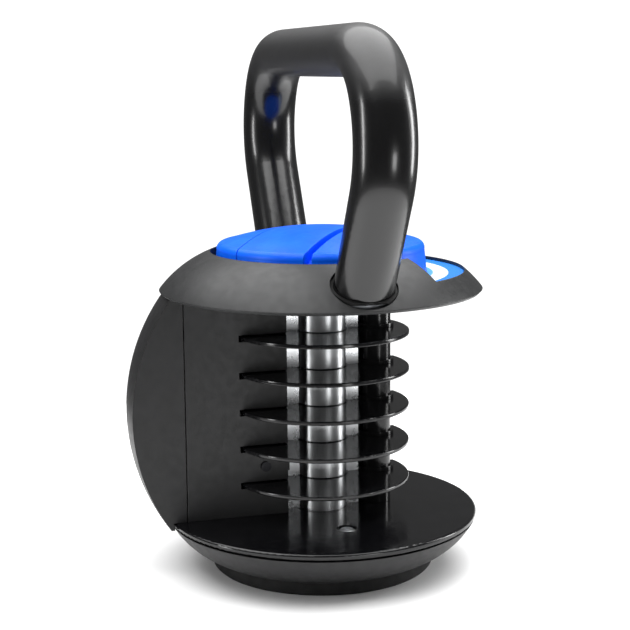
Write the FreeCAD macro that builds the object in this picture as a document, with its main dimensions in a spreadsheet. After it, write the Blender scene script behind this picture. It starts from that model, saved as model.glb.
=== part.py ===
import FreeCAD, Part
import math
import os
import re
import Sketcher
from FreeCAD import Placement, Rotation, Vector

# Adjustable kettlebell with its weight plates taken out, in millimetres.
# +Z is up and the origin is the centre of the foot's resting face. The two legs of the
# handle stand on the X axis, the open side that the plates slide into faces +X, and the
# guide post stands on the +Y axis.

doc = FreeCAD.newDocument("kettlebell")
sheet = doc.addObject("Spreadsheet::Sheet", "Dimensions")

DIMENSIONS = {
    # the ball that everything sits in
    "ball_radius": 105.0,
    "ball_centre": 86.6,
    "shell_wall": 3.0,
    # foot, bowl and base plate
    "foot_radius": 60.0,
    "foot_height": 8.0,
    "foot_web": 3.0,
    "bowl_wall": 3.0,
    "bowl_height": 18.3,
    "bowl_rim_radius": 83.2,
    "bowl_foot_radius": 62.5,
    "bowl_bulge": 2.4,
    "groove_gap": 0.9,
    "groove_inset": 3.4,
    "boss_radius": 6.0,
    "base_plate_radius": 83.9,
    "base_plate_thickness": 3.2,
    "plate_edge_round": 1.2,
    "ballast_radius": 56.0,
    "ballast_thickness": 9.0,
    "ballast_bore": 20.0,
    "base_screw_circle": 44.5,
    "base_screw_head": 4.3,
    "base_screw_head_height": 1.8,
    "base_screw_radius": 2.5,
    "base_screw_length": 14.0,
    "base_screw_recess": 5.4,
    "foot_screw_circle": 40.0,
    # the five dividers and the bays between them
    "divider_radius": 47.3,
    "divider_thickness": 2.2,
    "divider_pitch": 19.9,
    "bottom_bay": 16.0,
    "top_bay": 21.8,
    "divider_back": 12.0,
    "divider_round": 0.6,
    "hub_width": 0.9,
    "hub_height": 0.4,
    "hub_chamfer": 0.2,
    # lock tube on the axis, its bushes and its drive
    "tube_radius": 13.0,
    "tube_bore": 8.5,
    "tube_clearance": 0.35,
    "running_gap": 0.05,
    "bush_flange": 16.2,
    "bush_wall": 2.0,
    "bush_flange_thickness": 1.6,
    "bush_drop": 3.4,
    "lock_flat_depth": 2.2,
    "lock_flat_height": 13.0,
    "tube_drop": 8.0,
    "ring_groove_depth": 1.2,
    "ring_thickness": 1.2,
    "ring_width": 3.4,
    "drive_hub_radius": 27.0,
    "drive_hub_height": 4.5,
    "drive_pin_radius": 1.5,
    "hub_screw_circle": 21.0,
    "hub_screw_radius": 1.5,
    # spine and guide post that carry the top on the base
    "spine_width": 40.4,
    "spine_depth": 19.0,
    "spine_front": 2.0,
    "spine_slot": 1.6,
    "spine_screw_x": 13.0,
    "spine_screw_y": 17.0,
    "frame_screw_radius": 2.0,
    "frame_screw_length": 14.0,
    "post_radius": 8.5,
    "post_distance": 30.5,
    "post_clearance": 0.2,
    "post_ring_width": 1.7,
    "post_ring_height": 2.2,
    "post_ring_cut": 1.5,
    # inner walls of the closed side
    "wall_front": 9.5,
    "wall_thickness": 2.5,
    "wall_outer": 76.6,
    "wall_inner": 21.8,
    "wall_slot_height": 3.4,
    "panel_seam": 0.5,
    "end_wall_side": 39.6,
    "end_wall_front": 12.4,
    "back_wall_thickness": 1.9,
    "lip_radius": 66.0,
    "lip_screw_circle": 72.0,
    "wall_screw_radius": 1.6,
    "wall_screw_side": 34.0,
    "wall_screw_height": 57.3,
    "shell_ballast_radius": 64.5,
    "shell_ballast_height": 108.0,
    # top plate and cap
    "chassis_radius": 82.0,
    "chassis_thickness": 4.0,
    "cap_rim_radius": 86.0,
    "cap_rim_drop": 0.3,
    "cap_mid_radius": 76.2,
    "cap_mid_rise": 11.4,
    "cap_opening": 58.6,
    "cap_height": 21.4,
    "cap_wall": 2.8,
    "cap_boss_circle": 78.2,
    "cap_boss_radius": 3.2,
    "window_half_angle": 58.0,
    "socket_gap": 1.8,
    # label tray, label and stop ring
    "label_radius": 76.4,
    "label_rise": 9.0,
    "label_thickness": 1.2,
    "tray_radius": 74.5,
    "tray_bore": 53.5,
    "cap_lip": 2.0,
    "stop_ring_radius": 52.0,
    "stop_ring_bore": 31.0,
    "stop_ring_height": 4.6,
    # knob and its release button
    "knob_radius": 56.5,
    "knob_shoulder": 55.2,
    "knob_side": 12.2,
    "knob_edge": 51.5,
    "knob_edge_rise": 4.4,
    "dome_sag": 7.6,
    "dome_flat": 2.0,
    "knob_wall": 3.0,
    "knob_floor": 3.0,
    "knob_rise": 0.4,
    "knob_angle": 50.5,
    "button_line": 25.4,
    "button_gap": 0.6,
    "button_travel": 2.5,
    "knob_turn": 90.0,
    "knob_screw_spread": 38.0,
    "knob_screw_length": 9.0,
    "groove_line": 13.2,
    "groove_width": 4.0,
    "groove_depth": 5.0,
    "catch_radius": 2.5,
    "catch_circle": 40.0,
    "catch_gap": 0.6,
    "catch_tip": 3.0,
    "spring_radius": 4.0,
    "spring_wire": 0.5,
    "spring_pitch": 1.2,
    # handle
    "handle_foot": 66.9,
    "handle_wide": 110.0,
    "handle_wide_height": 228.3,
    "handle_wide_bend": 49.0,
    "handle_top": 88.8,
    "handle_top_height": 274.6,
    "handle_top_bend": 39.0,
    "grip_thickness": 26.0,
    "grip_width": 30.6,
    "handle_wall": 3.0,
    "handle_bolt_radius": 4.0,
    "handle_bolt_length": 17.0,
    "handle_plug_height": 24.0,
    # clearance between pieces that are only put together
    "seat_gap": 0.1,
}
for row, (alias, number) in enumerate(DIMENSIONS.items(), start=1):
    sheet.set("A%d" % row, alias)
    sheet.set("B%d" % row, str(number))
    sheet.setAlias("B%d" % row, alias)
doc.recompute()

# Heights and places that several pieces share, as expressions of the driving dimensions.
BOWL_TOP = "(foot_height + bowl_height)"
PLATE_UNDER = "(foot_height + bowl_height + groove_gap)"
PLATE_TOP = "(foot_height + bowl_height + groove_gap + base_plate_thickness)"
LOWEST_DIVIDER = "(%s + bottom_bay)" % PLATE_TOP
DIVIDER_COUNT = 5
CHASSIS_UNDER = "(%s + %d * divider_pitch + divider_thickness + top_bay)" % (LOWEST_DIVIDER, DIVIDER_COUNT - 1)
CHASSIS_TOP = "(%s + chassis_thickness)" % CHASSIS_UNDER
CAP_RIM = "(%s - cap_rim_drop)" % CHASSIS_UNDER
LABEL_TOP = "(%s + label_rise)" % CHASSIS_UNDER
KNOB_UNDER = "(%s + knob_rise)" % LABEL_TOP
FLOOR_TOP = "(%s + knob_floor)" % KNOB_UNDER
DOME_TOP = "(%s + knob_side + knob_edge_rise + dome_sag)" % KNOB_UNDER
SPINE_BACK = "(spine_front - spine_depth)"
PANEL_BACK = "(wall_front - wall_thickness)"
SLOT_HALF = "(spine_width / 2 - spine_slot)"
BEYOND = 130.0


def cells(expression):
    """The expression with each alias turned into a reference to the sheet."""
    def reference(match):
        word = match.group()
        return "Dimensions." + word if word in DIMENSIONS else word
    return re.sub(r"[a-z_]+", reference, str(expression))


def size(expression):
    """The number that an expression of aliases gives."""
    number = sheet.evalExpression(cells(expression))
    return float(getattr(number, "Value", number))


def bind(thing, **expressions):
    """Bind properties of an object to expressions of aliases; __ stands for a dot."""
    for name, expression in expressions.items():
        thing.setExpression(name.replace("__", "."), cells(expression))
    return thing


def place(thing, x="0", y="0", z="0"):
    """Bind an object's position to expressions."""
    return bind(thing, Placement__Base__x=x, Placement__Base__y=y, Placement__Base__z=z)


def turn(thing, angle, axis=Vector(0, 0, 1)):
    """Turn an object about its own base point, by an angle in degrees."""
    thing.Placement = Placement(thing.Placement.Base, Rotation(axis, size(angle)))
    return thing


def cylinder(name, radius, height, z, x="0", y="0", angle="360"):
    thing = doc.addObject("Part::Cylinder", name)
    bind(thing, Radius=radius, Height=height, Angle=angle)
    return place(thing, x, y, z)


def cone(name, lower, upper, height, z, x="0", y="0"):
    thing = doc.addObject("Part::Cone", name)
    bind(thing, Radius1=lower, Radius2=upper, Height=height)
    return place(thing, x, y, z)


def box(name, x, y, z):
    """A box between two expressions on each axis, given as pairs."""
    thing = doc.addObject("Part::Box", name)
    spans = ["(%s) - (%s)" % (high, low) for low, high in (x, y, z)]
    bind(thing, Length=spans[0], Width=spans[1], Height=spans[2])
    return place(thing, x[0], y[0], z[0])


def ball(name, radius):
    thing = doc.addObject("Part::Sphere", name)
    bind(thing, Radius=radius)
    return place(thing, z="ball_centre")


def join(name, pieces):
    thing = doc.addObject("Part::MultiFuse", name)
    thing.Shapes = pieces
    return thing


def group(name, pieces):
    """Several separate solids that share one node."""
    thing = doc.addObject("Part::Compound", name)
    thing.Links = pieces
    return thing


def common(name, pieces):
    thing = doc.addObject("Part::MultiCommon", name)
    thing.Shapes = pieces
    return thing


def cut(name, base, tools):
    thing = doc.addObject("Part::Cut", name)
    thing.Base = base
    thing.Tool = tools[0] if len(tools) == 1 else join(name + "_tools", tools)
    return thing


def ring(name, outer, inner, height, z, x="0", y="0"):
    rim = cylinder(name + "_rim", outer, height, z, x, y)
    hole = cylinder(name + "_hole", inner, "%s + 2" % height, "%s - 1" % z, x, y)
    return cut(name, rim, [hole])


def on_circle(circle, angle):
    """The x and y expressions of a point on a circle about the axis."""
    return "%s * cos(%s)" % (circle, angle), "%s * sin(%s)" % (circle, angle)


def origin_plane(body, role):
    return [feature for feature in body.Origin.OriginFeatures if feature.Role == role][0]


def pin_point(sketch, geometry, corner, point):
    """Fix a corner of a sketch at the place that two expressions give."""
    for kind, axis, expression in (("DistanceX", -2, point[0]), ("DistanceY", -1, point[1])):
        number = size(expression)
        if abs(number) < 1e-9:
            sketch.addConstraint(Sketcher.Constraint("PointOnObject", geometry, corner, axis))
        else:
            index = sketch.addConstraint(Sketcher.Constraint(kind, -1, 1, geometry, corner, number))
            sketch.setExpression("Constraints[%d]" % index, cells(expression))


def turned(name, outline):
    """A body of revolution about Z. The outline lists (radius, height) corners in order,
    and a third value, where there is one, is a point that the arc to that corner passes."""
    body = doc.addObject("PartDesign::Body", name)
    sketch = body.newObject("Sketcher::SketchObject", name + "_outline")
    sketch.AttachmentSupport = (origin_plane(body, "XZ_Plane"), [""])
    sketch.MapMode = "FlatFace"
    corners = [Vector(size(point[0]), size(point[1]), 0) for point in outline]
    count = len(outline)
    for index in range(count):
        start, end = corners[index], corners[(index + 1) % count]
        target = outline[(index + 1) % count]
        if len(target) == 3:
            middle = Vector(size(target[2][0]), size(target[2][1]), 0)
            anticlockwise = (middle - start).cross(end - middle).z > 0
            arc = Part.Arc(start, middle, end) if anticlockwise else Part.Arc(end, middle, start)
            sketch.addGeometry(arc, False)
        else:
            sketch.addGeometry(Part.LineSegment(start, end), False)
    ends = []
    for index in range(count):
        piece = sketch.Geometry[index]
        forward = piece.StartPoint.distanceToPoint(corners[index]) < 1e-6
        ends.append((1, 2) if forward else (2, 1))
    for index in range(count):
        after = (index + 1) % count
        sketch.addConstraint(Sketcher.Constraint("Coincident", index, ends[index][1], after, ends[after][0]))
        pin_point(sketch, index, ends[index][0], outline[index])
        if len(outline[after]) == 3:
            middle = outline[after][2]
            spot = sketch.addGeometry(Part.Point(Vector(size(middle[0]), size(middle[1]), 0)), True)
            pin_point(sketch, spot, 1, middle)
            sketch.addConstraint(Sketcher.Constraint("PointOnObject", spot, 1, index))
    spin = body.newObject("PartDesign::Revolution", name + "_turned")
    spin.Profile = sketch
    spin.ReferenceAxis = (sketch, ["V_Axis"])
    spin.Angle = 360
    body.Tip = spin
    return body


def machine_screw(name, x, y, head_z, head, head_height, shank, length, down=True):
    """A button-headed screw whose head starts at head_z and whose shank runs down or up."""
    top = cylinder(name + "_head", head, head_height, head_z, x, y)
    start = "%s - %s" % (head_z, length) if down else "%s + %s" % (head_z, head_height)
    return join(name, [top, cylinder(name + "_shank", shank, length, start, x, y)])


def sunk_screw(name, x, y, face_z, shank, length, down=True):
    """A countersunk screw flush with a plate's face; its head is twice the shank's radius."""
    if down:
        head = cone(name + "_head", shank, "2 * %s" % shank, shank, "%s - %s" % (face_z, shank), x, y)
        return join(name, [head, cylinder(name + "_shank", shank, length, "%s - %s" % (face_z, length), x, y)])
    head = cone(name + "_head", "2 * %s" % shank, shank, shank, face_z, x, y)
    return join(name, [head, cylinder(name + "_shank", shank, length, face_z, x, y)])


def sunk_hole(name, x, y, face_z, shank, length, down=True):
    """The hole that a countersunk screw sits in, larger all round by the seat gap."""
    return sunk_screw(name, x, y, face_z, "(%s + seat_gap)" % shank, "(%s + seat_gap)" % length, down)


NODES = {}


def node(name, thing):
    """Name a finished piece; the name is its label and its file's name."""
    thing.Label = name
    NODES[name] = thing
    return thing


# ---------------------------------------------------------------- foot, bowl and base plate
SCREW_ANGLES = ["0", "120", "240"]
FOOT_ANGLES = ["60", "180", "300"]
BALLAST_TOP = "(foot_height + bowl_wall + ballast_thickness)"


def make_base():
    base_spots = [on_circle("base_screw_circle", angle) for angle in SCREW_ANGLES]
    foot_spots = [on_circle("foot_screw_circle", angle) for angle in FOOT_ANGLES]

    foot = turned("foot_body", [
        ("0", "0"), ("foot_radius - 1", "0"),
        ("foot_radius", "1"), ("foot_radius - 1", "foot_height"), ("0", "foot_height")])
    holes = [cylinder("foot_hole%d" % i, "base_screw_radius + seat_gap", "foot_height * 2", "0", x, y)
             for i, (x, y) in enumerate(foot_spots)]
    holes += [cylinder("foot_recess%d" % i, "base_screw_head + 0.5", "foot_height - foot_web + 1", "-1", x, y)
              for i, (x, y) in enumerate(foot_spots)]
    node("foot", cut("foot", foot, holes))

    inner_foot = "(bowl_foot_radius - bowl_wall)"
    bowl = turned("bowl_body", [
        ("0", "foot_height"), ("bowl_foot_radius", "foot_height"),
        ("bowl_rim_radius", BOWL_TOP,
         ("(bowl_foot_radius + bowl_rim_radius) / 2 + bowl_bulge * 0.66",
          "foot_height + bowl_height / 2 - bowl_bulge * 0.75")),
        ("bowl_rim_radius - groove_inset", BOWL_TOP), ("bowl_rim_radius - groove_inset", PLATE_UNDER),
        ("bowl_rim_radius - groove_inset - bowl_wall", PLATE_UNDER),
        (inner_foot, "foot_height + bowl_wall",
         ("(bowl_foot_radius + bowl_rim_radius - groove_inset) / 2 + bowl_bulge * 0.66 - bowl_wall",
          "foot_height + bowl_height / 2 + bowl_wall / 2 - bowl_bulge * 0.75")),
        ("0", "foot_height + bowl_wall")])
    bosses = [cylinder("bowl_boss%d" % i, "boss_radius", "%s - foot_height - bowl_wall / 2" % PLATE_UNDER,
                       "foot_height + bowl_wall / 2", x, y) for i, (x, y) in enumerate(base_spots)]
    bowl_holes = [cylinder("bowl_tapping%d" % i, "base_screw_radius + seat_gap", "base_screw_length",
                           "%s - base_screw_length + 2" % PLATE_UNDER, x, y)
                  for i, (x, y) in enumerate(base_spots)]
    bowl_holes += [cylinder("bowl_hole%d" % i, "base_screw_radius + seat_gap", "foot_height * 2", "0", x, y)
                   for i, (x, y) in enumerate(foot_spots)]
    node("bowl", cut("bowl", join("bowl_bosses", [bowl] + bosses), bowl_holes))

    slug = ring("ballast_slug", "ballast_radius", "ballast_bore", "ballast_thickness", "foot_height + bowl_wall")
    ballast_holes = [cylinder("ballast_hole%d" % i, "boss_radius + 0.5", "ballast_thickness * 2",
                              "foot_height", x, y) for i, (x, y) in enumerate(base_spots)]
    ballast_holes += [cylinder("ballast_tapping%d" % i, "base_screw_radius + seat_gap", "ballast_thickness * 3",
                               "foot_height", x, y) for i, (x, y) in enumerate(foot_spots)]
    node("base_ballast", cut("base_ballast", slug, ballast_holes))

    plate = turned("plate_body", [
        ("bush_flange - 1", PLATE_UNDER), ("base_plate_radius - plate_edge_round", PLATE_UNDER),
        ("base_plate_radius", "%s + plate_edge_round" % PLATE_UNDER,
         ("base_plate_radius - plate_edge_round * 0.293", "%s + plate_edge_round * 0.293" % PLATE_UNDER)),
        ("base_plate_radius", "%s - plate_edge_round" % PLATE_TOP),
        ("base_plate_radius - plate_edge_round", PLATE_TOP,
         ("base_plate_radius - plate_edge_round * 0.293", "%s - plate_edge_round * 0.293" % PLATE_TOP)),
        ("bush_flange + seat_gap", PLATE_TOP),
        ("bush_flange + seat_gap", "%s - bush_flange_thickness" % PLATE_TOP),
        ("tube_radius + bush_wall + seat_gap", "%s - bush_flange_thickness" % PLATE_TOP),
        ("tube_radius + bush_wall + seat_gap", PLATE_UNDER)])
    plate_holes = []
    for i, (x, y) in enumerate(base_spots):
        plate_holes.append(cylinder("plate_hole%d" % i, "base_screw_radius + seat_gap", "10",
                                    "%s - 1" % PLATE_UNDER, x, y))
        plate_holes.append(cylinder("plate_recess%d" % i, "base_screw_recess", "10",
                                    "%s - base_screw_head_height" % PLATE_TOP, x, y))
    for i, (x, y) in enumerate(spine_spots()):
        plate_holes.append(sunk_hole("plate_spine_hole%d" % i, x, y, PLATE_UNDER, "frame_screw_radius",
                                     "frame_screw_length", down=False))
    plate_holes.append(sunk_hole("plate_post_hole", "0", "post_distance", PLATE_UNDER, "frame_screw_radius",
                                 "frame_screw_length", down=False))
    for i, angle in enumerate(LIP_ANGLES):
        x, y = on_circle("lip_screw_circle", angle)
        plate_holes.append(cylinder("plate_lip_hole%d" % i, "wall_screw_radius + seat_gap", "10",
                                    "%s - 1" % PLATE_UNDER, x, y))
    node("base_plate", cut("base_plate", plate, plate_holes))

    screws = [machine_screw("base_screw%d" % i, x, y, "%s - base_screw_head_height" % PLATE_TOP,
                            "base_screw_head", "base_screw_head_height", "base_screw_radius",
                            "(base_screw_length - 3)") for i, (x, y) in enumerate(base_spots)]
    node("base_screws", group("base_screws", screws))
    foot_screws = [machine_screw("foot_screw%d" % i, x, y, "foot_height - foot_web - base_screw_head_height",
                                 "base_screw_head", "base_screw_head_height", "base_screw_radius",
                                 "(base_screw_length - 3)", down=False)
                   for i, (x, y) in enumerate(foot_spots)]
    node("foot_screws", group("foot_screws", foot_screws))


# ---------------------------------------------------------------- lock tube, bushes and drive
LIP_ANGLES = ["-110", "-150", "158"]
TUBE_FOOT = "(%s - tube_drop)" % PLATE_UNDER
TUBE_HEAD = "(%s - seat_gap)" % KNOB_UNDER
HUB_UNDER = "(%s - drive_hub_height)" % TUBE_HEAD
PIN_HEIGHT = "(%s + drive_hub_height / 2)" % HUB_UNDER
RING_HEIGHT = "(%s - bush_drop - ring_thickness - seat_gap + base_plate_thickness)" % PLATE_UNDER


def bush(name, face, outward, reach):
    """A flanged bush for the lock tube: its flange is flush at face, its barrel reaches on."""
    low_flange = "%s - bush_flange_thickness" % face if outward > 0 else face
    low_barrel = "%s - (%s)" % (face, reach) if outward > 0 else face
    flange = cylinder(name + "_flange", "bush_flange", "bush_flange_thickness", low_flange)
    barrel = cylinder(name + "_barrel", "tube_radius + bush_wall", reach, low_barrel)
    bore = cylinder(name + "_bore", "tube_radius + running_gap", "60", "%s - 30" % face)
    return node(name, cut(name, join(name + "_solid", [flange, barrel]), [bore]))


def divider_height(index):
    """The underside of a divider, counted from the lowest."""
    return "(%s + %d * divider_pitch)" % (LOWEST_DIVIDER, index)


def make_lock():
    body = ring("tube_body", "tube_radius", "tube_bore", "%s - %s" % (TUBE_HEAD, TUBE_FOOT), TUBE_FOOT)
    cuts = [ring("tube_ring_groove", "tube_radius + 1", "tube_radius - ring_groove_depth",
                 "ring_thickness + 0.1", "%s - 0.05" % RING_HEIGHT)]
    for index in range(-1, DIVIDER_COUNT):
        if index < 0:
            low = "%s + (bottom_bay - lock_flat_height) / 2" % PLATE_TOP
        else:
            low = "%s + divider_thickness + (divider_pitch - divider_thickness - lock_flat_height) / 2" \
                % divider_height(index)
        cuts.append(box("tube_flat%d" % (index + 1), ("-2 * tube_radius", "lock_flat_depth - tube_radius"),
                        ("-tube_radius", "tube_radius"), (low, "%s + lock_flat_height" % low)))
    cross = cylinder("tube_cross_hole", "drive_pin_radius + seat_gap", "4 * tube_radius", PIN_HEIGHT,
                     "-2 * tube_radius")
    turn(cross, "90", Vector(0, 1, 0))
    place(cross, "-2 * tube_radius", "0", PIN_HEIGHT)
    node("lock_tube", cut("lock_tube", body, cuts + [cross]))

    node("tube_ring", ring("tube_ring", "tube_radius + ring_width", "tube_radius - ring_groove_depth + 0.05",
                           "ring_thickness", RING_HEIGHT))
    bush("base_bush", PLATE_TOP, 1, "base_plate_thickness + bush_drop - base_plate_thickness")
    bush("top_bush", CHASSIS_UNDER, -1, "chassis_thickness")

    hub = ring("hub_body", "drive_hub_radius", "tube_radius + seat_gap", "drive_hub_height", HUB_UNDER)
    hub_cross = cylinder("hub_cross_hole", "drive_pin_radius + seat_gap", "4 * drive_hub_radius", PIN_HEIGHT)
    turn(hub_cross, "90", Vector(0, 1, 0))
    place(hub_cross, "-2 * drive_hub_radius", "0", PIN_HEIGHT)
    hub_cuts = [hub_cross]
    screws = []
    floor_holes = []
    for i, angle in enumerate(["30", "150", "270"]):
        x, y = on_circle("hub_screw_circle", angle)
        hub_cuts.append(cylinder("hub_hole%d" % i, "hub_screw_radius + seat_gap", "20", "%s - 1" % HUB_UNDER, x, y))
        hub_cuts.append(cylinder("hub_recess%d" % i, "2 * hub_screw_radius + seat_gap", "hub_screw_radius + 1",
                                 "%s - 1" % HUB_UNDER, x, y))
        screws.append(machine_screw("hub_screw%d" % i, x, y, HUB_UNDER, "2 * hub_screw_radius",
                                    "hub_screw_radius", "hub_screw_radius", "(drive_hub_height + 0.5)",
                                    down=False))
        floor_holes.append(cylinder("floor_hole%d" % i, "hub_screw_radius + seat_gap", "knob_floor",
                                    "%s - 0.4" % KNOB_UNDER, x, y))
    node("drive_hub", cut("drive_hub", hub, hub_cuts))
    node("hub_screws", group("hub_screws", screws))
    pin = cylinder("drive_pin", "drive_pin_radius", "2 * drive_hub_radius - 1", PIN_HEIGHT)
    turn(pin, "90", Vector(0, 1, 0))
    place(pin, "0.5 - drive_hub_radius", "0", PIN_HEIGHT)
    node("drive_pin", pin)
    return floor_holes


# ---------------------------------------------------------------- spine, post and dividers
def spine_spots():
    return [("-spine_screw_x", "-spine_screw_y"), ("-spine_screw_x", "spine_screw_y")]


def make_frame():
    bar = box("spine_bar", (SPINE_BACK, "spine_front"), ("-spine_width / 2", "spine_width / 2"),
              (PLATE_TOP, CHASSIS_UNDER))
    cuts = [cylinder("spine_channel", "tube_radius + tube_clearance", "400", "0")]
    for index in range(DIVIDER_COUNT):
        span = ("%s - seat_gap" % divider_height(index), "%s + divider_thickness + seat_gap" % divider_height(index))
        for side, sign in (("left", "-"), ("right", "")):
            reach = sorted(("%s(spine_width)" % sign, "%s%s" % (sign, SLOT_HALF)), key=size)
            cuts.append(box("spine_slot_%s%d" % (side, index), ("-divider_back - seat_gap", "spine_front + 1"),
                            reach, span))
    frame_screws = []
    for i, (x, y) in enumerate(spine_spots()):
        for end, face, down in (("low", PLATE_UNDER, False), ("high", CHASSIS_TOP, True)):
            cuts.append(sunk_hole("spine_tapping_%s%d" % (end, i), x, y, face, "frame_screw_radius",
                                  "frame_screw_length", down))
            frame_screws.append(sunk_screw("spine_screw_%s%d" % (end, i), x, y, face, "frame_screw_radius",
                                           "frame_screw_length", down))
    bracket_hole = "(%s)" % "wall_screw_height"
    node("spine", cut("spine", bar, cuts))
    node("spine_screws", group("spine_screws", frame_screws))

    post = cylinder("post_bar", "post_radius", "%s - %s" % (CHASSIS_UNDER, PLATE_TOP), PLATE_TOP,
                    "0", "post_distance")
    post_cuts = []
    post_screws = []
    for end, face, down in (("low", PLATE_UNDER, False), ("high", CHASSIS_TOP, True)):
        post_cuts.append(sunk_hole("post_tapping_" + end, "0", "post_distance", face, "frame_screw_radius",
                                   "frame_screw_length", down))
        post_screws.append(sunk_screw("post_screw_" + end, "0", "post_distance", face, "frame_screw_radius",
                                      "frame_screw_length", down))
    node("guide_post", cut("guide_post", post, post_cuts))
    node("post_screws", group("post_screws", post_screws))

    rings = []
    for index in range(DIVIDER_COUNT):
        top = "%s + divider_thickness" % divider_height(index)
        whole = ring("post_ring%d" % index, "post_radius + post_ring_width", "post_radius + seat_gap / 2",
                     "post_ring_height", top, "0", "post_distance")
        split = box("post_ring_split%d" % index, ("-3 * post_radius", "0"),
                    ("post_distance - post_ring_cut", "post_distance + post_ring_cut"),
                    ("%s - 1" % top, "%s + post_ring_height + 1" % top))
        rings.append(cut("post_clip%d" % index, whole, [split]))
    node("post_rings", group("post_rings", rings))


def make_divider(index):
    low = divider_height(index)
    top = "(%s + divider_thickness)" % low
    name = "divider_%d" % (index + 1)
    disc = turned(name + "_disc", [
        ("0", low), ("divider_radius - divider_round", low),
        ("divider_radius", "%s + divider_round" % low,
         ("divider_radius - divider_round * 0.293", "%s + divider_round * 0.293" % low)),
        ("divider_radius", "%s - divider_round" % top),
        ("divider_radius - divider_round", top,
         ("divider_radius - divider_round * 0.293", "%s - divider_round * 0.293" % top)),
        ("tube_radius + tube_clearance + hub_width", top),
        ("tube_radius + tube_clearance + hub_width", "%s + hub_height - hub_chamfer" % top),
        ("tube_radius + tube_clearance + hub_width - hub_chamfer", "%s + hub_height" % top),
        ("0", "%s + hub_height" % top)])
    reach = ("%s - 1" % low, "%s + hub_height + 1" % top)
    cuts = [
        cylinder(name + "_tube_hole", "tube_radius + tube_clearance", "hub_height + divider_thickness + 2",
                 reach[0]),
        cylinder(name + "_post_hole", "post_radius + post_clearance", "hub_height + divider_thickness + 2",
                 reach[0], "0", "post_distance"),
        box(name + "_back", ("-2 * divider_radius", "-divider_back"),
            ("-2 * divider_radius", "2 * divider_radius"), reach),
        box(name + "_notch", ("-2 * divider_radius", "spine_front + seat_gap"),
            ("-%s - seat_gap" % SLOT_HALF, "%s + seat_gap" % SLOT_HALF), reach),
        box(name + "_hub_back", ("-2 * divider_radius", "spine_front + seat_gap"),
            ("-2 * tube_radius", "2 * tube_radius"), (top, reach[1])),
    ]
    node(name, cut(name, disc, cuts))


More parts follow.
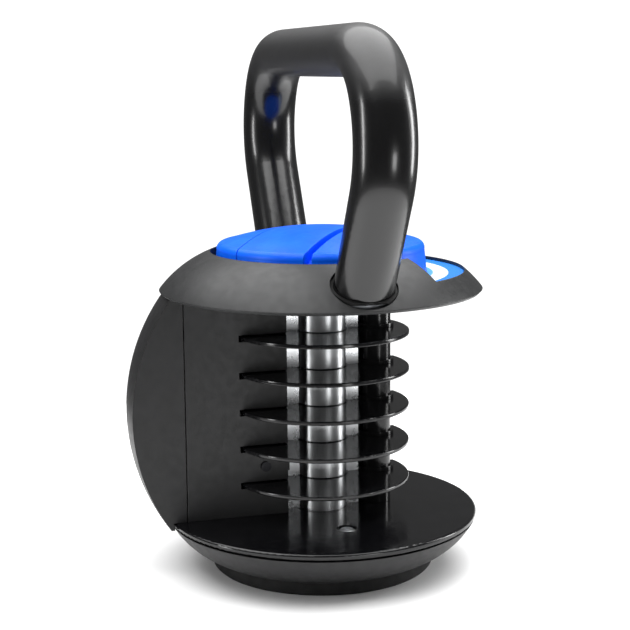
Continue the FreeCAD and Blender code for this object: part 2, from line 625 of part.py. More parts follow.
# ---------------------------------------------------------------- closed side
def make_closed_side():
    tall = (PLATE_TOP, CHASSIS_UNDER)
    panel = box("panel_board", (PANEL_BACK, "wall_front"), ("-wall_outer", "-wall_inner"), tall)
    cuts = []
    for index in range(DIVIDER_COUNT):
        middle = "(%s + divider_thickness / 2)" % divider_height(index)
        cuts.append(box("panel_slot%d" % index, ("0", "wall_front + 1"), ("-divider_radius - 0.4", "0"),
                        ("%s - wall_slot_height / 2" % middle, "%s + wall_slot_height / 2" % middle)))
    screw_hole = cylinder("panel_screw_hole", "wall_screw_radius + seat_gap", "40", "0")
    turn(screw_hole, "90", Vector(0, 1, 0))
    place(screw_hole, "-5", "-wall_screw_side", "wall_screw_height")
    node("wall_panel", cut("wall_panel", panel, cuts + [screw_hole]))

    block = box("bracket_block", ("spine_front - 8", PANEL_BACK), ("-wall_screw_side - 5", "-spine_width / 2"),
                ("wall_screw_height - 4", "wall_screw_height + 4"))
    node("wall_bracket", cut("wall_bracket", block, [screw_hole]))
    head = cylinder("wall_screw_head", "1.7 * wall_screw_radius", "1.2", "0")
    shank = cylinder("wall_screw_shank", "wall_screw_radius", "10", "0")
    for piece, start in ((head, "wall_front"), (shank, "wall_front - 10")):
        turn(piece, "90", Vector(0, 1, 0))
        place(piece, start, "-wall_screw_side", "wall_screw_height")
    node("wall_screw", join("wall_screw", [head, shank]))

    back = box("back_wall", ("%s - seat_gap - back_wall_thickness" % SPINE_BACK, "%s - seat_gap" % SPINE_BACK),
               ("-spine_width / 2", "end_wall_side - shell_wall - seat_gap"), tall)
    node("back_wall", back)

    low = "%s + 0.2" % BOWL_TOP
    outer = ball("shell_outer", "ball_radius")
    inner = ball("shell_inner", "ball_radius - shell_wall")
    side = box("shell_side", ("-%g" % BEYOND, "wall_front"), ("-%g" % BEYOND, "0"), (low, CHASSIS_UNDER))
    rear = box("shell_rear", ("-%g" % BEYOND, "-end_wall_front"), ("-1", "end_wall_side"), (low, CHASSIS_UNDER))
    skin = common("shell_skin", [cut("shell_hollow", outer, [inner]), join("shell_region", [side, rear])])
    flange = common("shell_flange", [
        ball("flange_ball", "ball_radius - 0.5"),
        box("flange_board", ("wall_front - shell_wall", "wall_front"),
            ("-%g" % BEYOND, "-wall_outer - panel_seam"), tall)])
    end = common("shell_end", [
        ball("end_ball", "ball_radius - 0.5"),
        box("end_board", ("-%g" % BEYOND, "-end_wall_front"), ("end_wall_side - shell_wall", "end_wall_side"), tall)])
    lip_region = join("lip_region", [
        box("lip_side", ("-%g" % BEYOND, "%s - 0.6" % PANEL_BACK), ("-%g" % BEYOND, "0"), tall),
        box("lip_rear", ("-%g" % BEYOND, "-end_wall_front"), ("-1", "end_wall_side"), tall)])
    lips = []
    for which, start in (("low", PLATE_TOP), ("high", "%s - shell_wall" % CHASSIS_UNDER)):
        lips.append(common("shell_lip_" + which, [
            ring("lip_ring_" + which, "ball_radius", "lip_radius", "shell_wall", start),
            ball("lip_ball_" + which, "ball_radius - 0.5"), lip_region]))
    solid = join("shell_solid", [skin, flange, end] + lips)
    trims = [ring("shell_cap_trim", "%g" % BEYOND, "chassis_radius", "10", "%s - seat_gap" % CAP_RIM),
             cylinder("shell_plate_trim", "base_plate_radius + 0.4", "%s - %s + 1" % (PLATE_TOP, BOWL_TOP),
                      "%s - 1" % BOWL_TOP)]
    screws = []
    for i, angle in enumerate(LIP_ANGLES):
        x, y = on_circle("lip_screw_circle", angle)
        trims.append(cylinder("lip_low_hole%d" % i, "wall_screw_radius + seat_gap", "40", "0", x, y))
        trims.append(cylinder("lip_high_hole%d" % i, "wall_screw_radius + seat_gap", "40",
                              "%s - 20" % CHASSIS_UNDER, x, y))
        screws.append(machine_screw("shell_screw_low%d" % i, x, y, "%s - 1.6" % PLATE_UNDER,
                                    "2 * wall_screw_radius", "1.6", "wall_screw_radius",
                                    "(base_plate_thickness + shell_wall)", down=False))
        screws.append(sunk_screw("shell_screw_high%d" % i, x, y, CHASSIS_TOP, "wall_screw_radius",
                                 "(chassis_thickness + shell_wall)"))
    node("back_shell", cut("back_shell", solid, trims))
    node("shell_screws", group("shell_screws", screws))

    slug = cylinder("shell_slug", "shell_ballast_radius", "shell_ballast_height", PLATE_TOP)
    keep = join("slug_region", [
        box("slug_side", ("-%g" % BEYOND, "%s - 2" % PANEL_BACK), ("-%g" % BEYOND, "-divider_radius - 1.5"), tall),
        box("slug_rear", ("-%g" % BEYOND, "%s - back_wall_thickness - 0.3" % SPINE_BACK),
            ("-%g" % BEYOND, "end_wall_side - shell_wall - 0.3"), tall)])
    node("shell_ballast", common("shell_ballast", [slug, keep]))


# ---------------------------------------------------------------- handle
def leg_direction():
    """The direction, up and outwards, of the handle's straight lower leg on the +X side."""
    foot = Vector(size("handle_foot"), 0, size(CHASSIS_UNDER))
    wide = Vector(size("handle_wide"), 0, size("handle_wide_height"))
    return (wide - foot).normalize()


def leg_bar(name, side, grow, length=70.0):
    """An oval bar along a lower leg, larger than the grip all round by grow."""
    oval = doc.addObject("Part::Ellipse", name + "_oval")
    bind(oval, MajorRadius="grip_width / 2 + (%s)" % grow, MinorRadius="grip_thickness / 2 + (%s)" % grow)
    direction = leg_direction()
    direction.x *= side
    across = Vector(0, 1, 0)
    place(oval, "%d * handle_foot" % side, "0", CHASSIS_UNDER)
    base = Vector(side * size("handle_foot"), 0, size(CHASSIS_UNDER)) - direction * 30
    frame = FreeCAD.Matrix()
    third = direction.cross(across)
    frame.A11, frame.A21, frame.A31 = across.x, across.y, across.z
    frame.A12, frame.A22, frame.A32 = third.x, third.y, third.z
    frame.A13, frame.A23, frame.A33 = direction.x, direction.y, direction.z
    for axis in "xyz":
        oval.setExpression("Placement.Base." + axis, None)
    oval.Placement = Placement(base, Placement(frame).Rotation)
    bar = doc.addObject("Part::Extrusion", name)
    bar.Base = oval
    bar.DirMode = "Custom"
    bar.Dir = direction
    bar.LengthFwd = length + 30
    bar.Solid = True
    return bar


def bend(before, corner, after, radius):
    """The arc of a bend at a corner: where it starts, its middle and where it ends."""
    back = (before - corner).normalize()
    ahead = (after - corner).normalize()
    half = back.getAngle(ahead) / 2
    inward = (back + ahead).normalize()
    start = corner + back * (radius / math.tan(half))
    end = corner + ahead * (radius / math.tan(half))
    middle = corner + inward * (radius / math.sin(half) - radius)
    return start, middle, end


def handle_line():
    """The centre line of the bent bar: two legs, two wide bends a side, and the grip."""
    direction = leg_direction()
    foot = Vector(size("handle_foot"), 0, size(CHASSIS_UNDER)) - direction * 12
    wide = Vector(size("handle_wide"), 0, size("handle_wide_height"))
    top = Vector(size("handle_top"), 0, size("handle_top_height"))
    crown = Vector(0, 0, top.z)
    lower = bend(foot, wide, top, size("handle_wide_bend"))
    upper = bend(wide, top, crown, size("handle_top_bend"))

    def mirrored(points):
        return [Vector(-point.x, point.y, point.z) for point in reversed(points)]

    half = [("line", [foot, lower[0]]), ("arc", list(lower)), ("line", [lower[2], upper[0]]), ("arc", list(upper))]
    other = [(kind, mirrored(points)) for kind, points in reversed(half)]
    route = half + [("line", [upper[2], mirrored(upper)[0]])] + other
    edges = []
    for kind, points in route:
        if kind == "arc":
            edges.append(Part.Arc(*points).toShape())
        elif points[0].distanceToPoint(points[1]) > 1e-4:
            edges.append(Part.LineSegment(*points).toShape())
    return Part.Wire(edges)


def bent_bar(name, line, grow):
    """The oval bar swept along the handle's centre line."""
    direction = leg_direction()
    foot = Vector(size("handle_foot"), 0, size(CHASSIS_UNDER)) - direction * 12
    oval = doc.addObject("Part::Ellipse", name + "_oval")
    bind(oval, MajorRadius="grip_width / 2 + (%s)" % grow, MinorRadius="grip_thickness / 2 + (%s)" % grow)
    across = Vector(0, 1, 0)
    third = direction.cross(across)
    frame = FreeCAD.Matrix()
    frame.A11, frame.A21, frame.A31 = across.x, across.y, across.z
    frame.A12, frame.A22, frame.A32 = third.x, third.y, third.z
    frame.A13, frame.A23, frame.A33 = direction.x, direction.y, direction.z
    oval.Placement = Placement(foot, Placement(frame).Rotation)
    bar = doc.addObject("Part::Sweep", name)
    bar.Sections = [oval]
    bar.Spine = (line, ["Edge%d" % (i + 1) for i in range(len(line.Shape.Edges))])
    bar.Solid = True
    bar.Transition = "Transformed"
    return bar


BOLT_SPOTS = [("handle_foot + 3", "0", 1), ("-handle_foot - 3", "0", -1)]


def make_handle():
    line = doc.addObject("Part::Feature", "handle_line")
    line.Shape = handle_line()
    outside = bent_bar("handle_outside", line, "0")
    inside = bent_bar("handle_inside", line, "-handle_wall")
    below = box("handle_below", ("-%g" % BEYOND, "%g" % BEYOND), ("-%g" % BEYOND, "%g" % BEYOND),
                ("0", "%s" % CHASSIS_TOP))
    node("handle", cut("handle", outside, [inside, below]))

    plugs = []
    bolts = []
    for i, (x, y, side) in enumerate(BOLT_SPOTS):
        stub = common("plug_stub%d" % i, [
            leg_bar("plug_bar%d" % i, side, "-handle_wall - seat_gap"),
            box("plug_span%d" % i, ("-%g" % BEYOND, "%g" % BEYOND), ("-%g" % BEYOND, "%g" % BEYOND),
                (CHASSIS_TOP, "%s + handle_plug_height" % CHASSIS_TOP))])
        plugs.append(cut("plug%d" % i, stub, [
            sunk_hole("plug_tapping%d" % i, x, y, CHASSIS_UNDER, "handle_bolt_radius", "handle_bolt_length",
                      down=False)]))
        bolts.append(sunk_screw("handle_bolt%d" % i, x, y, CHASSIS_UNDER, "handle_bolt_radius",
                                "handle_bolt_length", down=False))
    node("handle_plugs", group("handle_plugs", plugs))
    node("handle_bolts", group("handle_bolts", bolts))


# ---------------------------------------------------------------- chassis, cap, label and stop ring
CAP_BOSS_ANGLES = ["40", "140", "220", "320"]


def cap_outline(name, inset, low, skirt):
    """The dome's turned outline, moved inwards by inset; skirt is its inner radius."""
    outline = [
        (skirt, low), ("cap_rim_radius - 1.4 - %s" % inset, low),
        ("cap_rim_radius - %s" % inset, "%s + 1.4" % low),
        (skirt, "%s + cap_height - %s - (%s - cap_opening) * 0.6" % (CAP_RIM, inset, skirt),
         ("cap_mid_radius - %s * 0.72" % inset, "%s + cap_mid_rise - %s * 0.6" % (CAP_RIM, inset)))]
    return turned(name, outline)


def make_top():
    chassis = cylinder("chassis_disc", "chassis_radius", "chassis_thickness", CHASSIS_UNDER)
    cuts = [cylinder("chassis_bore", "tube_radius + bush_wall + seat_gap", "20", "%s - 5" % CHASSIS_UNDER),
            cylinder("chassis_counterbore", "bush_flange + seat_gap", "5 + bush_flange_thickness",
                     "%s - 5" % CHASSIS_UNDER)]
    for i, (x, y) in enumerate(spine_spots()):
        cuts.append(sunk_hole("chassis_spine_hole%d" % i, x, y, CHASSIS_TOP, "frame_screw_radius",
                              "frame_screw_length"))
    cuts.append(sunk_hole("chassis_post_hole", "0", "post_distance", CHASSIS_TOP, "frame_screw_radius",
                          "frame_screw_length"))
    for i, angle in enumerate(LIP_ANGLES):
        x, y = on_circle("lip_screw_circle", angle)
        cuts.append(sunk_hole("chassis_lip_hole%d" % i, x, y, CHASSIS_TOP, "wall_screw_radius", "10"))
    for i, (x, y, side) in enumerate(BOLT_SPOTS):
        cuts.append(sunk_hole("chassis_bolt_hole%d" % i, x, y, CHASSIS_UNDER, "handle_bolt_radius",
                              "handle_bolt_length", down=False))
    cap_screws = []
    bosses = []
    boss_holes = []
    for i, angle in enumerate(CAP_BOSS_ANGLES):
        x, y = on_circle("cap_boss_circle", angle)
        cuts.append(sunk_hole("chassis_cap_hole%d" % i, x, y, CHASSIS_UNDER, "hub_screw_radius", "6", down=False))
        cap_screws.append(sunk_screw("cap_screw%d" % i, x, y, CHASSIS_UNDER, "hub_screw_radius", "6", down=False))
        bosses.append(cylinder("cap_boss%d" % i, "cap_boss_radius", "label_rise - label_thickness - "
                               "chassis_thickness - 2 * seat_gap", "%s + seat_gap" % CHASSIS_TOP, x, y))
        boss_holes.append(cylinder("cap_boss_hole%d" % i, "hub_screw_radius + seat_gap", "6.5", CHASSIS_UNDER, x, y))
    node("chassis_plate", cut("chassis_plate", chassis, cuts))
    node("cap_screws", group("cap_screws", cap_screws))

    dome = cap_outline("cap_dome", "0", CAP_RIM, "cap_opening")
    hollow = cap_outline("cap_hollow", "cap_wall", "%s - 2" % CAP_RIM, "(cap_opening + cap_lip)")
    rim_cut = cylinder("cap_rim_cut", "chassis_radius + 0.3", "%s - %s + 2" % (CHASSIS_TOP, CAP_RIM),
                       "%s - 1.95" % CAP_RIM)
    reach = cut("cap_reach", hollow, bosses)
    skirt_cut = cylinder("cap_skirt_cut", "cap_opening + cap_lip + 0.5", "%s - %s + 1 + seat_gap" % (LABEL_TOP, CAP_RIM),
                         "%s - 1" % CAP_RIM)
    window = cylinder("cap_window", "label_radius + 0.1", "30", LABEL_TOP, angle="2 * window_half_angle")
    turn(window, "90 - window_half_angle")
    window_gap = cylinder("cap_window_gap", "label_radius + 0.1", "label_thickness + 0.2",
                          "%s - label_thickness - 0.1" % LABEL_TOP)
    sockets = [leg_bar("cap_socket%d" % i, side, "socket_gap") for i, (x, y, side) in enumerate(BOLT_SPOTS)]
    node("cap", cut("cap", dome, [reach, rim_cut, skirt_cut, window, window_gap] + sockets + boss_holes))

    seals = []
    seal_room = join("seal_room", [
        cap_outline("seal_room_outer", "0.9", "%s + seat_gap" % CHASSIS_TOP, "cap_opening"),
        cylinder("seal_room_inner", "cap_opening + 1", "%s - %s - seat_gap" % (LABEL_TOP, CHASSIS_TOP),
                 "%s + seat_gap" % CHASSIS_TOP)])
    for i, (x, y, side) in enumerate(BOLT_SPOTS):
        outer = leg_bar("seal_outer%d" % i, side, "socket_gap - 0.3")
        inner = leg_bar("seal_inner%d" % i, side, "seat_gap")
        seals.append(common("leg_seal%d" % i, [cut("seal_tube%d" % i, outer, [inner]), seal_room]))
    node("leg_seals", group("leg_seals", seals))

    clear = [leg_bar("tray_clear%d" % i, side, "socket_gap") for i, (x, y, side) in enumerate(BOLT_SPOTS)]
    tray_top = "%s - label_thickness" % LABEL_TOP
    tray = turned("tray_body", [
        ("tray_bore", CHASSIS_TOP), ("tray_radius", CHASSIS_TOP), ("tray_radius", tray_top),
        ("tray_bore", tray_top)])
    node("label_tray", cut("label_tray", tray, clear))
    label = ring("label_ring", "label_radius", "tray_bore", "label_thickness", tray_top)
    label_clear = [leg_bar("label_clear%d" % i, side, "socket_gap") for i, (x, y, side) in enumerate(BOLT_SPOTS)]
    node("dial_label", cut("dial_label", label, label_clear))

    plate = ring("stop_body", "stop_ring_radius", "stop_ring_bore", "stop_ring_height", CHASSIS_TOP)
    reach = "(catch_radius + catch_gap)"
    sweep = []
    for which, radius in (("outer", "catch_circle + %s" % reach), ("inner", "catch_circle - %s" % reach)):
        sector = cylinder("stop_sector_" + which, radius, "20", "%s - 5" % CHASSIS_TOP, angle="knob_turn")
        turn(sector, "knob_angle + 180")
        sweep.append(sector)
    slot = [cut("stop_slot", sweep[0], [sweep[1]])]
    for which, angle in (("start", "knob_angle + 180"), ("end", "knob_angle + 180 + knob_turn")):
        x, y = on_circle("catch_circle", "(%s)" % angle)
        slot.append(cylinder("stop_slot_" + which, reach, "20", "%s - 5" % CHASSIS_TOP, x, y))
    node("stop_ring", cut("stop_ring", plate, slot))


# ---------------------------------------------------------------- knob and release button
def knob_dome(name, inset, low):
    """The knob's turned outline, drawn in by inset at its top and side."""
    shoulder = "(%s + knob_side)" % KNOB_UNDER
    edge = "(%s + knob_side + knob_edge_rise - %s)" % (KNOB_UNDER, inset)
    top = "(%s - %s)" % (DOME_TOP, inset)
    return turned(name, [
        ("0", low), ("knob_radius - %s" % inset, low), ("knob_shoulder - %s" % inset, "%s - %s" % (shoulder, inset)),
        ("knob_edge - %s" % inset, edge,
         ("(knob_shoulder + knob_edge) / 2 + 1.1 - %s" % inset, "%s + knob_edge_rise * 0.68 - %s" % (shoulder, inset))),
        ("dome_flat", top, ("(knob_edge - %s) / 2" % inset, "%s - dome_sag / 4" % top)), ("0", top)])


def knob_block(name, low, high, bottom, top="400"):
    """A block across the knob between two distances from its axis, in the knob's own direction."""
    block = box(name, (low, high), ("-%g" % BEYOND, "%g" % BEYOND), (bottom, top))
    angle = math.radians(size("knob_angle"))
    near = size(low)
    block.setExpression("Placement.Base.x", None)
    block.setExpression("Placement.Base.y", None)
    block.setExpression("Placement.Base.z", None)
    across = Vector(-math.sin(angle), math.cos(angle), 0)
    start = Vector(math.cos(angle), math.sin(angle), 0) * near - across * BEYOND
    start.z = size(bottom)
    block.Placement = Placement(start, Rotation(Vector(0, 0, 1), size("knob_angle")))
    return block


def knob_spot(along, across):
    """The x and y expressions of a place given in the knob's own direction."""
    return ("(%s) * cos(knob_angle) - (%s) * sin(knob_angle)" % (along, across),
            "(%s) * sin(knob_angle) + (%s) * cos(knob_angle)" % (along, across))


def make_knob(floor_holes):
    catch = knob_spot("-catch_circle", "0")
    button_low = "%s + button_travel + 0.3" % FLOOR_TOP
    boss_low = "(%s + 6.2)" % FLOOR_TOP
    rib = "groove_line + groove_width / 2"
    wall_boss = "knob_wall + hub_screw_radius + 1 - button_line"
    spots = [knob_spot(along, across) for along in (rib, wall_boss)
             for across in ("-knob_screw_spread", "knob_screw_spread")]
    envelope = knob_dome("knob_envelope", "0", KNOB_UNDER)
    under = cylinder("knob_under", "knob_radius - knob_wall", "knob_floor + 1", "%s - 1" % KNOB_UNDER)
    bosses = [cylinder("knob_boss%d" % i, "hub_screw_radius + 2", "40", KNOB_UNDER, x, y)
              for i, (x, y) in enumerate(spots[2:])]
    hollow_left = cut("knob_hollow_left", common("knob_hollow_side", [
        knob_dome("knob_hollow", "knob_wall", "%s + 1" % KNOB_UNDER),
        knob_block("hollow_left", "knob_wall - button_line", "groove_line - knob_wall", KNOB_UNDER)]), bosses)
    hollow_right = common("knob_hollow_right", [
        knob_dome("knob_hollow_twin", "knob_wall", "%s + 1" % KNOB_UNDER),
        knob_block("hollow_right", "groove_line + groove_width + knob_wall", "400", KNOB_UNDER)])
    groove = common("knob_groove", [
        knob_block("groove_block", "groove_line", "groove_line + groove_width", "%s + 1.2" % FLOOR_TOP),
        cut("groove_depth_skin", knob_dome("groove_envelope", "-1", KNOB_UNDER),
            [knob_dome("groove_floor", "groove_depth", KNOB_UNDER)])])
    button_room = knob_block("button_room", "-200", "-button_line", "%s - 0.4" % FLOOR_TOP)
    holes = [sunk_hole("knob_tapping%d" % i, x, y, KNOB_UNDER, "hub_screw_radius", "knob_screw_length", down=False)
             for i, (x, y) in enumerate(spots)]
    node("knob", cut("knob", envelope, [under, hollow_left, hollow_right, groove, button_room] + holes))

    floor = cylinder("floor_disc", "knob_radius - knob_wall - seat_gap", "knob_floor", KNOB_UNDER)
    pin_hole = cylinder("floor_pin_hole", "catch_radius + 0.3", "20", "%s - 1" % KNOB_UNDER, *catch)
    node("knob_floor", cut("knob_floor", floor, [pin_hole] + holes + floor_holes))
    node("knob_screws", group("knob_screws", [
        sunk_screw("knob_screw%d" % i, x, y, KNOB_UNDER, "hub_screw_radius", "knob_screw_length", down=False)
        for i, (x, y) in enumerate(spots)]))

    face = "-button_line - button_gap"
    shape = common("button_solid", [
        knob_dome("button_envelope", "0", KNOB_UNDER), knob_block("button_block", "-200", face, button_low)])
    room = common("button_hollow", [
        knob_dome("button_inside", "knob_wall", KNOB_UNDER),
        knob_block("button_inside_block", "-200", "%s - knob_wall * 0.8" % face, KNOB_UNDER)])
    shell = cut("button_shell", shape, [room])
    boss = common("button_boss", [
        knob_dome("button_boss_limit", "knob_wall / 2", KNOB_UNDER),
        cylinder("button_boss_bar", "catch_radius + 2", "40", boss_low, *catch)])
    pin_seat = cylinder("button_pin_seat", "catch_radius + seat_gap / 2", "6", "%s - 1" % boss_low, *catch)
    node("release_button", cut("release_button", join("button_joined", [shell, boss]), [pin_seat]))

    tip = "(%s + catch_tip)" % CHASSIS_TOP
    node("catch_pin", cylinder("catch_pin", "catch_radius", "%s + 4.8 - %s" % (boss_low, tip), tip, *catch))

    helix = doc.addObject("Part::Helix", "spring_line")
    bind(helix, Radius="spring_radius", Pitch="spring_pitch", Height="4 * spring_pitch")
    place(helix, catch[0], catch[1], "%s + spring_wire + 0.1" % FLOOR_TOP)
    wire = doc.addObject("Part::Circle", "spring_section")
    bind(wire, Radius="spring_wire")
    wire.Placement = Placement(Vector(0, 0, 0), Rotation(Vector(1, 0, 0), 90))
    place(wire, "%s + spring_radius" % catch[0], catch[1], "%s + spring_wire + 0.1" % FLOOR_TOP)
    spring = doc.addObject("Part::Sweep", "button_spring")
    spring.Sections = [wire]
    spring.Spine = (helix, [])
    spring.Solid = True
    spring.Frenet = True
    node("button_spring", spring)


make_base()
knob_holes = make_lock()
make_frame()
for divider in range(DIVIDER_COUNT):
    make_divider(divider)
make_closed_side()
make_handle()
make_top()
make_knob(knob_holes)

doc.recompute()
faults = [thing.Name for thing in doc.Objects if "Invalid" in thing.State or "Error" in thing.State]
if faults:
    raise RuntimeError("objects left failed: " + ", ".join(faults))
for name, thing in NODES.items():
    if thing.Shape.isNull() or not thing.Shape.isValid() or not thing.Shape.Solids:
        raise RuntimeError("bad shape: " + name)

os.makedirs("parts", exist_ok=True)
for name, thing in NODES.items():
    thing.Shape.exportStep("parts/%s.step" % name)
    print("%-16s %2d solid(s) %10.1f mm3" % (name, len(thing.Shape.Solids), thing.Shape.Volume))
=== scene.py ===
import math

import bmesh
import bpy
from mathutils import Matrix, Vector


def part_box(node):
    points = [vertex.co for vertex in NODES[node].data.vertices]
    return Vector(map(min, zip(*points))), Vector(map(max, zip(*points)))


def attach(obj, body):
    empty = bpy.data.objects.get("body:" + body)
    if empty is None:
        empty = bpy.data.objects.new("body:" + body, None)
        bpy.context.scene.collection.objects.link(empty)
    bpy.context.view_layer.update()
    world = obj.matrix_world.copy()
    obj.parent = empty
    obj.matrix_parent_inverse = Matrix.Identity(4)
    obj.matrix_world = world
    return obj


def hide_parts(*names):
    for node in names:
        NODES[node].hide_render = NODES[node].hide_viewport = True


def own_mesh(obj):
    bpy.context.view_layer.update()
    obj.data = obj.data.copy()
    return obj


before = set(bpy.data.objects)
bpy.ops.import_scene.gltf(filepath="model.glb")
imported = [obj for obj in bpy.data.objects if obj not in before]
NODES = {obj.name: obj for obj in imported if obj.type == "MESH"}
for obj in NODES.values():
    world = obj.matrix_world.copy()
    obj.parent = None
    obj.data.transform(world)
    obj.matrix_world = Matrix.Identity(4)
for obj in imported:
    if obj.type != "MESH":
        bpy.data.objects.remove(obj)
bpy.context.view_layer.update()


# ------------------------------------------------------------------ camera
def make_camera():
    """The camera stands level with the cap, a little above it, and looks at the open bays."""
    data = bpy.data.cameras.new("camera")
    data.sensor_width = 36.0
    data.lens = 81.67
    data.clip_start = 0.05
    camera = bpy.data.objects.new("camera", data)
    bpy.context.scene.collection.objects.link(camera)
    bearing = math.radians(73.5)
    pitch = math.radians(-9.88)
    roll = math.radians(-0.43)
    camera.location = (0.7231, -0.2175, 0.2671)
    turn = Matrix.Rotation(bearing, 4, "Z") @ Matrix.Rotation(math.pi / 2 + pitch, 4, "X")
    camera.rotation_euler = (turn @ Matrix.Rotation(roll, 4, "Z")).to_euler()
    bpy.context.scene.camera = camera


make_camera()
bpy.context.scene.view_settings.view_transform = "Standard"


# ------------------------------------------------------------------ colours and material nodes
def linear(hex_colour):
    """An sRGB hex colour as linear red, green, blue and alpha."""
    parts = [int(hex_colour[i:i + 2], 16) / 255 for i in (1, 3, 5)]
    rgb = [c / 12.92 if c <= 0.04045 else ((c + 0.055) / 1.055) ** 2.4 for c in parts]
    return (*rgb, 1.0)


def add(tree, kind, settings=None, **inputs):
    """Add a node with its settings; each input is a value, or a socket that feeds it."""
    made = tree.nodes.new(kind)
    for name, value in (settings or {}).items():
        setattr(made, name, value)
    for name, value in inputs.items():
        socket = made.inputs[name.replace("_", " ")]
        if isinstance(value, bpy.types.NodeSocket):
            tree.links.new(value, socket)
        else:
            socket.default_value = value
    return made


def material(name, **principled):
    """A new material and its principled shader, with the sockets that are the same all over."""
    made = bpy.data.materials.new(name)
    made.use_nodes = True
    tree = made.node_tree
    shader = tree.nodes["Principled BSDF"]
    for socket, value in principled.items():
        shader.inputs[socket.replace("_", " ")].default_value = value
    return made, tree, shader


def mottle(tree, low, high, scale, detail=4.0):
    """A ramp between two colours or greys that follows fine noise, scale in cells per metre."""
    place = add(tree, "ShaderNodeTexCoord")
    noise = add(tree, "ShaderNodeTexNoise", Vector=place.outputs["Object"],
                Scale=scale, Detail=detail)
    ramp = add(tree, "ShaderNodeValToRGB", Fac=noise.outputs["Fac"])
    ramp.color_ramp.elements[0].position = 0.35
    ramp.color_ramp.elements[1].position = 0.65
    ramp.color_ramp.elements[0].color = low
    ramp.color_ramp.elements[1].color = high
    return ramp.outputs["Color"]


def grey(value):
    """An equal red, green and blue, for a ramp that drives a plain number."""
    return (value, value, value, 1.0)


def skin(tree, shader, colours, roughness, cells):
    """Vary colour and roughness, each between two values; cells per metre for each."""
    tree.links.new(mottle(tree, linear(colours[0]), linear(colours[1]), cells[0]),
                   shader.inputs["Base Color"])
    tree.links.new(mottle(tree, grey(roughness[0]), grey(roughness[1]), cells[1]),
                   shader.inputs["Roughness"])


def grain(tree, shader, scale, height_mm, detail=3.0, edge_mm=0.0):
    """A fine bump, and an edge rounding of edge_mm where a moulding's corners catch the light."""
    place = add(tree, "ShaderNodeTexCoord")
    noise = add(tree, "ShaderNodeTexNoise", Vector=place.outputs["Object"],
                Scale=scale, Detail=detail)
    bump = add(tree, "ShaderNodeBump", Height=noise.outputs["Fac"], Strength=1.0,
               Distance=height_mm / 1000)
    if edge_mm:
        rounding = add(tree, "ShaderNodeBevel", {"samples": 6}, Radius=edge_mm / 1000)
        tree.links.new(rounding.outputs["Normal"], bump.inputs["Normal"])
    tree.links.new(bump.outputs["Normal"], shader.inputs["Normal"])


def moulded_black(name, colours, roughness, grain_scale, grain_mm, edge_mm, specular=0.5):
    """Moulded black plastic: near black, its gloss broken by the mould's fine texture."""
    made, tree, shader = material(name, IOR=1.46, Specular_IOR_Level=specular)
    skin(tree, shader, colours, roughness, (90.0, 220.0))
    grain(tree, shader, grain_scale, grain_mm, edge_mm=edge_mm)
    return made


# Textured ABS of the shell and bowl: a fine spark-eroded skin that spreads highlights.
shell_abs = moulded_black("shell_textured_abs", ("#0B0B0C", "#111113"), (0.42, 0.50), 1400.0, 0.012, 0.5)
# Satin ABS of the cap: smoother, so the softbox shows as a wide sheen on the dome.
cap_abs = moulded_black("cap_satin_abs", ("#161718", "#1C1D1E"), (0.42, 0.50), 1800.0, 0.008, 0.7)
# Polished nylon of the dividers and base plate: a clear reflection of the tube.
plate_nylon = moulded_black("plate_gloss_nylon", ("#08080A", "#0D0D0F"), (0.13, 0.19), 500.0, 0.003, 0.4)
# Gloss ABS of the guide post and its rings: smooth enough for narrow bright streaks.
post_abs = moulded_black("post_gloss_abs", ("#0A0A0B", "#101012"), (0.16, 0.22), 600.0, 0.003, 0.5)
# Nitrile rubber of the foot and leg seals: dull, with a faint bloom.
foot_rubber = moulded_black("foot_nitrile_rubber", ("#0C0C0C", "#151515"), (0.68, 0.80), 1100.0, 0.03, 0.5, 0.3)
# Acetal of the bushes and stop ring: slick and slightly waxy.
bush_acetal = moulded_black("bush_black_acetal", ("#141415", "#1A1A1B"), (0.34, 0.42), 700.0, 0.004, 0.3)


# A mix node repeats its socket names for each kind of value; these are the colour ones.
MIX_COLOUR_A, MIX_COLOUR_B, MIX_COLOUR_OUT = 6, 7, 2


def powder_coat():
    """Semi-gloss powder coat on the steel handle: smooth on the legs, matt where hands hold it, with the grip
    on top painted lighter as a painted sheen.
    """
    made, tree, shader = material("handle_powder_coat", IOR=1.5, Coat_Weight=0.25, Coat_Roughness=0.1)
    place = add(tree, "ShaderNodeTexCoord")
    axes = add(tree, "ShaderNodeSeparateXYZ", Vector=place.outputs["Object"])
    smooth_below, matt_above = 0.25, 0.268
    rise = add(tree, "ShaderNodeMapRange", Value=axes.outputs["Z"],
               From_Min=smooth_below, From_Max=matt_above)
    # Painted sheen: the grip above matt_above gets a lighter base colour than the legs, standing in for the
    # broad light it reflects; the coat itself is one black.
    painted_grip_sheen = add(tree, "ShaderNodeMix", {"data_type": "RGBA"})
    tree.links.new(rise.outputs["Result"], painted_grip_sheen.inputs["Factor"])
    tree.links.new(mottle(tree, linear("#050506"), linear("#09090A"), 60.0), painted_grip_sheen.inputs[MIX_COLOUR_A])
    tree.links.new(mottle(tree, linear("#121213"), linear("#19191B"), 140.0), painted_grip_sheen.inputs[MIX_COLOUR_B])
    tree.links.new(painted_grip_sheen.outputs[MIX_COLOUR_OUT], shader.inputs["Base Color"])
    rough = add(tree, "ShaderNodeMapRange", Value=rise.outputs["Result"], To_Min=0.24, To_Max=0.5)
    tree.links.new(rough.outputs["Result"], shader.inputs["Roughness"])
    grain(tree, shader, 900.0, 0.02)
    return made


def blue_plastic():
    """Blue ABS knob with a fine spark finish: strong blue with a soft highlight."""
    made, tree, shader = material("knob_blue_abs", IOR=1.46, Specular_IOR_Level=0.2)
    skin(tree, shader, ("#005CF0", "#0466F8"), (0.38, 0.46), (80.0, 260.0))
    grain(tree, shader, 1600.0, 0.008, edge_mm=0.5)
    return made


